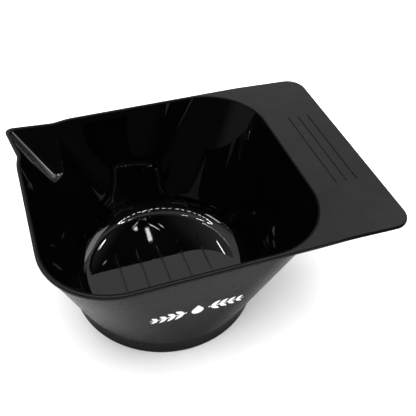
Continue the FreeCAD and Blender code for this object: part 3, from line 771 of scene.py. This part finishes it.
def build_world(base, all_round, lobes):
    """Dim room with broad soft bright areas; the backdrop itself is plain white."""
    world = bpy.data.worlds.new("studio")
    bpy.context.scene.world = world
    world.use_nodes = True
    t = world.node_tree
    bg = t.nodes["Background"]
    way = t.nodes.new("ShaderNodeTexCoord").outputs["Generated"]
    path = t.nodes.new("ShaderNodeLightPath")
    total = None
    for azimuth, elevation, inner_deg, outer_deg, value in lobes:
        d = t.nodes.new("ShaderNodeVectorMath")
        d.operation = "DOT_PRODUCT"
        t.links.new(way, d.inputs[0])
        d.inputs[1].default_value = toward(azimuth, elevation)
        r = t.nodes.new("ShaderNodeMapRange")
        r.interpolation_type = "SMOOTHSTEP"
        r.inputs["From Min"].default_value = math.cos(math.radians(outer_deg))
        r.inputs["From Max"].default_value = math.cos(math.radians(inner_deg))
        r.inputs["To Max"].default_value = value
        t.links.new(d.outputs["Value"], r.inputs["Value"])
        if total is None:
            total = r.outputs["Result"]
        else:
            add = t.nodes.new("ShaderNodeMath")
            t.links.new(total, add.inputs[0])
            t.links.new(r.outputs["Result"], add.inputs[1])
            total = add.outputs[0]
    add = t.nodes.new("ShaderNodeMath")          # matt things also get an even light from all round
    add.operation = "MULTIPLY_ADD"
    t.links.new(path.outputs["Is Diffuse Ray"], add.inputs[0])
    add.inputs[1].default_value = all_round
    t.links.new(total, add.inputs[2])
    total = add.outputs[0]
    add = t.nodes.new("ShaderNodeMath")
    t.links.new(total, add.inputs[0])
    add.inputs[1].default_value = base
    seen = t.nodes.new("ShaderNodeMix")
    seen.data_type = "FLOAT"
    t.links.new(path.outputs["Is Camera Ray"], seen.inputs["Factor"])
    t.links.new(add.outputs[0], seen.inputs["A"])
    seen.inputs["B"].default_value = 1.0
    t.links.new(seen.outputs["Result"], bg.inputs["Strength"])
    bg.inputs["Color"].default_value = (1, 1, 1, 1)


def area(name, place, target, size_x, size_y, radiance, diffuse=True, glossy=True, up="Y"):
    data = bpy.data.lights.new(name, "AREA")
    data.shape = "RECTANGLE"
    data.size, data.size_y = size_x, size_y
    data.energy = radiance * math.pi * size_x * size_y
    o = bpy.data.objects.new(name, data)
    bpy.context.scene.collection.objects.link(o)
    o.location = place
    o.rotation_euler = (Vector(target) - Vector(place)).to_track_quat("-Z", up).to_euler()
    o.visible_diffuse = diffuse
    o.visible_glossy = glossy
    o.visible_camera = False
    return o


build_world(0.035, 0.75, [(-2, 42, 26, 62, 0.86), (-90, 12, 12, 34, 0.13)])
area("left_softbox", toward(-90, 41.5, 1.2), (0, 0, 0.03), 0.36, 0.17, 8.0)
area("right_softbox", toward(80, 43, 1.2), (0, 0, 0.03), 0.72, 0.55, 3.2)
area("right_window", toward(96, 27, 1.2), (0, 0, 0.03), 0.34, 0.24, 7.5)
area("top_fill", (0.0, 0.0, 1.5), (0, 0, 0), 1.8, 1.8, 3.2, glossy=False)
RING = 28
for k in range(RING):      # lamps of a ring light high above the bowl
    a = 2 * math.pi * k / RING
    x, y = -0.05 + 0.465 * math.cos(a), 0.02 + 0.465 * math.sin(a)
    o = area("ring_lamp_%02d" % k, (x, y, 1.12), (x, y, 0), 0.012, 0.055, 150, diffuse=False)
    o.rotation_euler = (0, 0, a)

for k, (x, y, sx, sy) in enumerate(((0.156, -0.311, 0.008, 0.012), (0.183, -0.286, 0.009, 0.036), (0.103, -0.184, 0.012, 0.013))):
    area("ceiling_spot_%d" % k, (x, y, 1.12), (x, y, 0), sx, sy, 160, diffuse=False)

# ------------------------------------------------------------------ camera
cam_data = bpy.data.cameras.new("photo_view")
cam_data.sensor_width = 36.0
cam_data.sensor_fit = "HORIZONTAL"
cam_data.lens = 616.227 / 416 * 36.0
cam_data.clip_start = 0.01
cam = bpy.data.objects.new("photo_view", cam_data)
bpy.context.scene.collection.objects.link(cam)
az, el, roll = math.radians(-21.098), math.radians(44.56), math.radians(2.133)
back_v = Vector((math.sin(az) * math.cos(el), -math.cos(az) * math.cos(el), math.sin(el)))
right_v = (-back_v).cross(Vector((0, 0, 1))).normalized()
up_v = right_v.cross(-back_v).normalized()
rx = math.cos(roll) * right_v + math.sin(roll) * up_v
uy = -math.sin(roll) * right_v + math.cos(roll) * up_v
m = Matrix((rx, uy, back_v)).transposed().to_4x4()
m.translation = Vector((-0.05756, -0.21404, 0.27331))
cam.matrix_world = m
bpy.context.scene.camera = cam

bpy.context.scene.view_settings.view_transform = "Standard"

bpy.context.view_layer.update()
